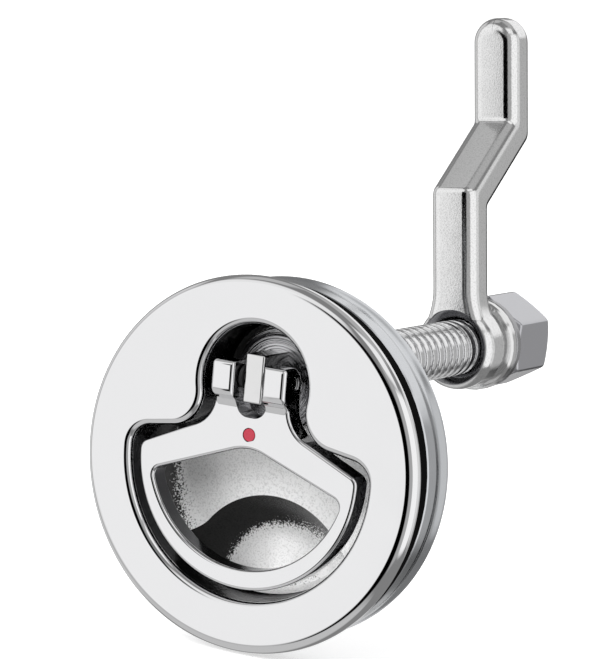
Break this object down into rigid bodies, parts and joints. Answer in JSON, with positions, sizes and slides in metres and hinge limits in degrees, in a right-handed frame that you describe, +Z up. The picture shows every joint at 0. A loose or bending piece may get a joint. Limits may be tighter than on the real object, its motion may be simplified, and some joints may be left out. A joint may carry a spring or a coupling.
{
  "type": "flush lift-and-turn pull handle",
  "caption": "Round flush-mounted pull handle with a folding D-shaped grip in a keyhole recess, and an offset cam on a long threaded spindle behind the door.",
  "frame": {"origin": "centre of the flange's back plane, where the flange seats on the door", "axes": "Y runs along the round body, from the face (-Y) to the nut (+Y), and Z is up towards the cam's tip"},
  "size_m": [0.0754, 0.1172, 0.1239],
  "materials": {
    "polished_steel": "mirror polished stainless steel",
    "satin_steel": "satin cast stainless steel",
    "turned_steel": "turned stainless steel",
    "spring_steel": "rolled spring steel",
    "rubber": "matt black rubber",
    "bronze": "machined bearing bronze",
    "nylon": "moulded black nylon",
    "red_enamel": "red enamel"
  },
  "bodies": {
    "latch": {"housing": "polished_steel", "flange_gasket": "rubber", "ring_nut": "turned_steel", "hinge_pin": "turned_steel", "pin_washer_left": "nylon", "pin_washer_right": "nylon", "spindle": "turned_steel", "thrust_washer": "nylon", "front_bush": "bronze", "shaft_seal": "rubber", "rear_bush": "bronze", "stop_washer": "turned_steel", "wave_washer": "spring_steel", "circlip": "spring_steel", "cam": "satin_steel", "flat_washer": "turned_steel", "spring_washer": "spring_steel", "hex_nut": "turned_steel"},
    "grip": {"handle": "polished_steel", "index_dot": "red_enamel"}
  },
  "joints": [
    {"name": "handle_lift", "type": "hinge", "parent": "latch", "child": "grip", "pos_m": [0, -0.00103, 0.0174], "axis": [-1, 0, 0], "range_deg": [0, 90]}
  ]
}
